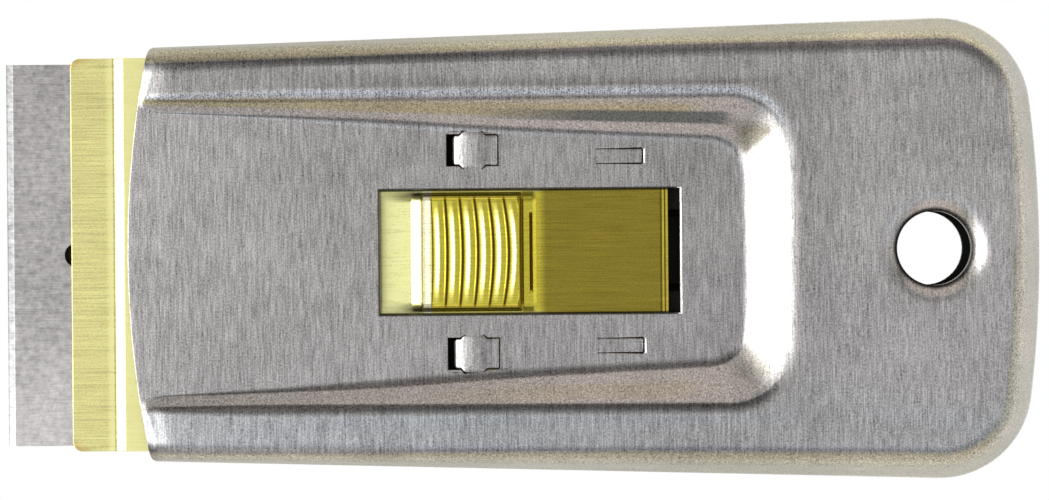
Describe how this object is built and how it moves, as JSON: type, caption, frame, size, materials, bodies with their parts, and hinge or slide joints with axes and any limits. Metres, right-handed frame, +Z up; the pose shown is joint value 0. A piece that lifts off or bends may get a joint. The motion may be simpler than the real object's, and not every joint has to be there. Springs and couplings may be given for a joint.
{
  "type": "razor blade scraper",
  "caption": "Pocket scraper: a stamped steel body with a sunk panel and hang hole, and a brass-plated carrier that slides a single-edge blade in and out by a ribbed thumb button.",
  "frame": {"origin": "middle of the part's box at the level of the surface that it lies on", "axes": "+X from the cutting edge to the hang hole, +Y along the blade, +Z up"},
  "size_m": [0.1036, 0.0462, 0.0075],
  "materials": {
    "body_steel": "steel sheet brushed across the body",
    "plate_steel": "plain steel sheet",
    "carrier_brass": "brass-coloured sheet brushed lengthwise",
    "jaw_steel": "blackened spring steel",
    "blade_steel": "ground blade steel with a bright honed edge",
    "spine_steel": "folded steel strip"
  },
  "bodies": {
    "body": {"top_shell": "body_steel", "back_plate": "plate_steel"},
    "carrier": {"blade_slide": "carrier_brass", "lower_jaw": "jaw_steel", "razor_blade": "blade_steel", "blade_spine": "spine_steel"}
  },
  "joints": [
    {"name": "blade_travel", "type": "slide", "parent": "body", "child": "carrier", "axis": [-1, 0, 0], "range_m": [-0.0142, 0.002]}
  ]
}
